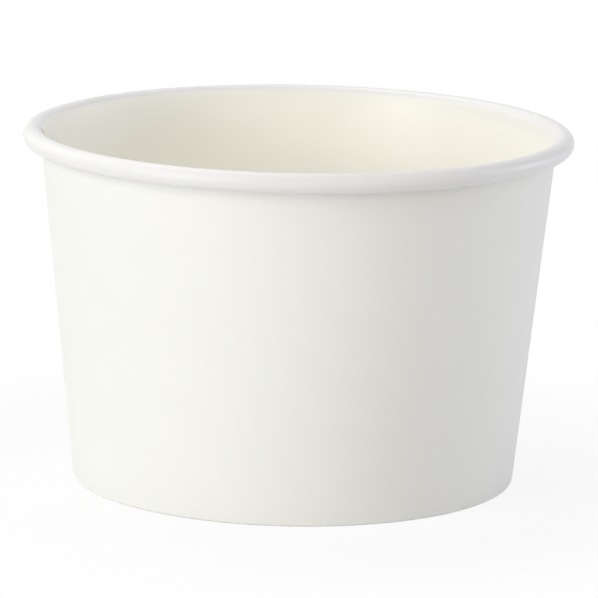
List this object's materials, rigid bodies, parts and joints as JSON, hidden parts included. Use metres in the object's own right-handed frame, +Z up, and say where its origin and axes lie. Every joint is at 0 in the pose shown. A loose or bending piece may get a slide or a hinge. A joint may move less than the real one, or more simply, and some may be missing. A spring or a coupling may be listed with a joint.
{
  "type": "paper sundae cup",
  "caption": "Low round paper cup for ice cream, with straight tapered walls, an outward-rolled rim, a lapped side seam and a recessed flat bottom.",
  "frame": {"origin": "centre of the base ring, on the plane that the cup stands on", "axes": "+Z up along the cup's axis; the side seam is on the -X side, with its outside cut edge turned 5 degrees from -X towards +Y"},
  "size_m": [0.097, 0.0968, 0.0627],
  "materials": {
    "wall_board": "white paperboard, matt outside, with a smooth film on the inside face that also shows on the rolled rim",
    "bottom_board": "white paperboard, smooth film on the upper face, matt underneath"
  },
  "bodies": {
    "root": {"side_wall": "wall_board", "bottom_disc": "bottom_board"}
  },
  "joints": []
}
